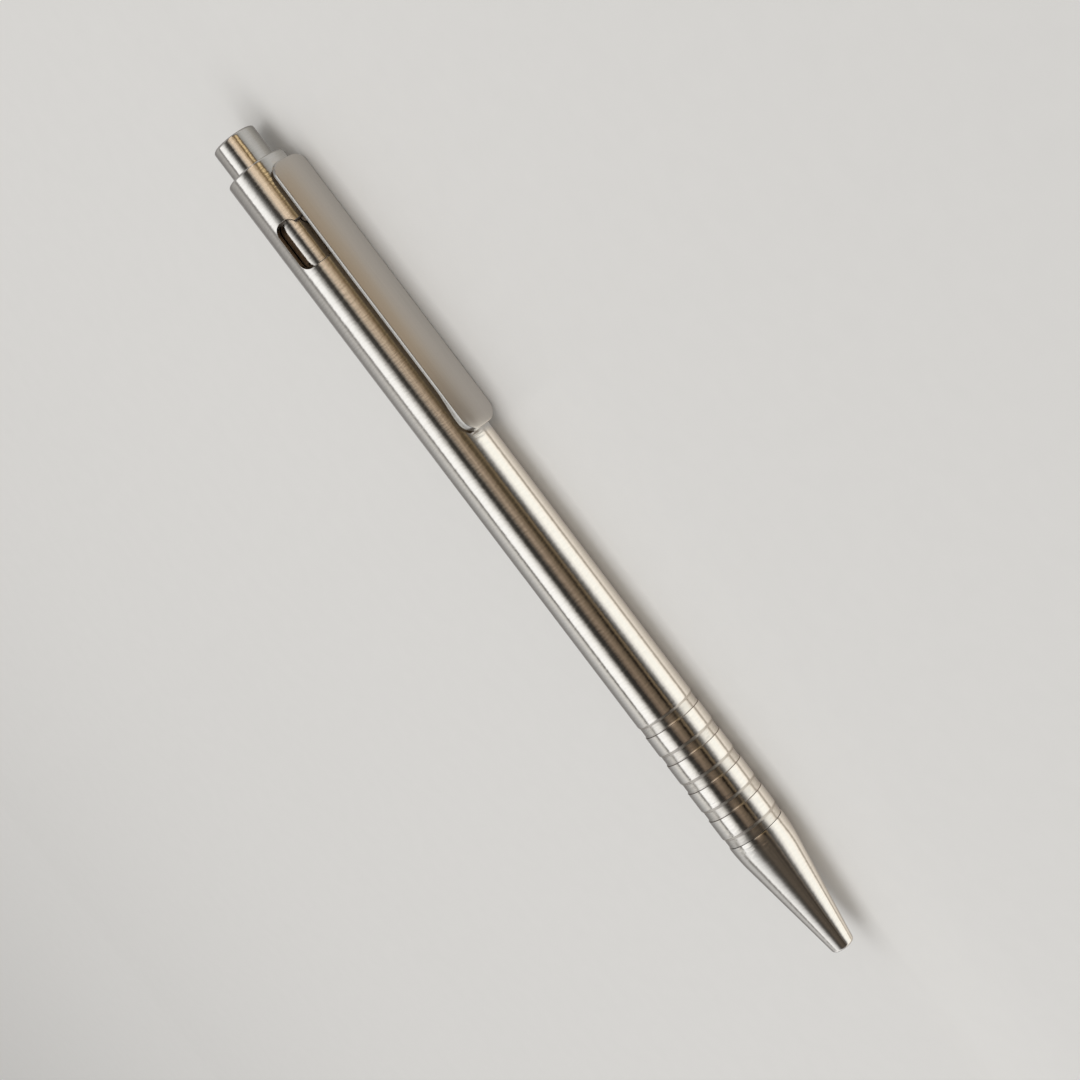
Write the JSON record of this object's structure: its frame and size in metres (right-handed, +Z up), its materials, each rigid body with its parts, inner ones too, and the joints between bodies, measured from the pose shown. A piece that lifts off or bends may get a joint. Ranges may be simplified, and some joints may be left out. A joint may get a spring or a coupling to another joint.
{
  "type": "bolt action pen",
  "caption": "Slim turned metal ballpoint pen with a bolt window, a flat clip that works the bolt, a rear push button, shallow grip grooves and a screw-in nose cone.",
  "frame": {"origin": "middle of the pen's box at the surface it lies on, with barrel and clip edge touching that surface", "axes": "+X along the pen towards the point, +Z up from the surface, +Y towards the side that the clip is on"},
  "size_m": [0.1464, 0.0114, 0.0095],
  "materials": {
    "barrel_metal": "bare metal, fine lathe-turned satin",
    "plunger_metal": "bare metal, fine lathe-turned satin",
    "nose_metal": "bare metal, fine lathe-turned satin",
    "clip_metal": "bare metal, fine blasted matt with bright edges",
    "screw_steel": "blackened",
    "spring_steel": "drawn wire",
    "point_metal": "nickel silver, turned",
    "ball_metal": "polished",
    "ring_rubber": "matt",
    "tube_plastic": "clear, smooth",
    "plug_plastic": "smooth",
    "holder_plastic": "smooth",
    "ink": "wet",
    "grease": "soft gel"
  },
  "bodies": {
    "barrel": {"barrel": "barrel_metal", "rear_ring": "ring_rubber"},
    "bolt": {"bolt_plunger": "plunger_metal", "clip": "clip_metal", "lock_screw": "screw_steel", "front_ring": "ring_rubber"},
    "refill": {"refill_tail_plug": "plug_plastic", "refill_tube": "tube_plastic", "grease_follower": "grease", "ink_column": "ink", "tip_holder": "holder_plastic", "writing_point": "point_metal", "writing_ball": "ball_metal"},
    "nose": {"nose_cone": "nose_metal", "nose_seal": "ring_rubber", "return_spring": "spring_steel"}
  },
  "joints": [
    {"name": "bolt_slide", "type": "slide", "parent": "barrel", "child": "bolt", "axis": [1, 0, 0], "range_m": [0, 0.005], "stiffness_N_per_m": 300, "springref_m": -0.004},
    {"name": "refill_slide", "type": "slide", "parent": "barrel", "child": "refill", "axis": [1, 0, 0], "range_m": [0, 0.005], "deforming": ["return_spring"]},
    {"name": "nose_unscrew", "type": "slide", "parent": "barrel", "child": "nose", "axis": [1, 0, 0], "range_m": [0, 0.03]}
  ],
  "couplings": [
    {"joint": "refill_slide", "follows": "bolt_slide", "ratio": 1}
  ]
}
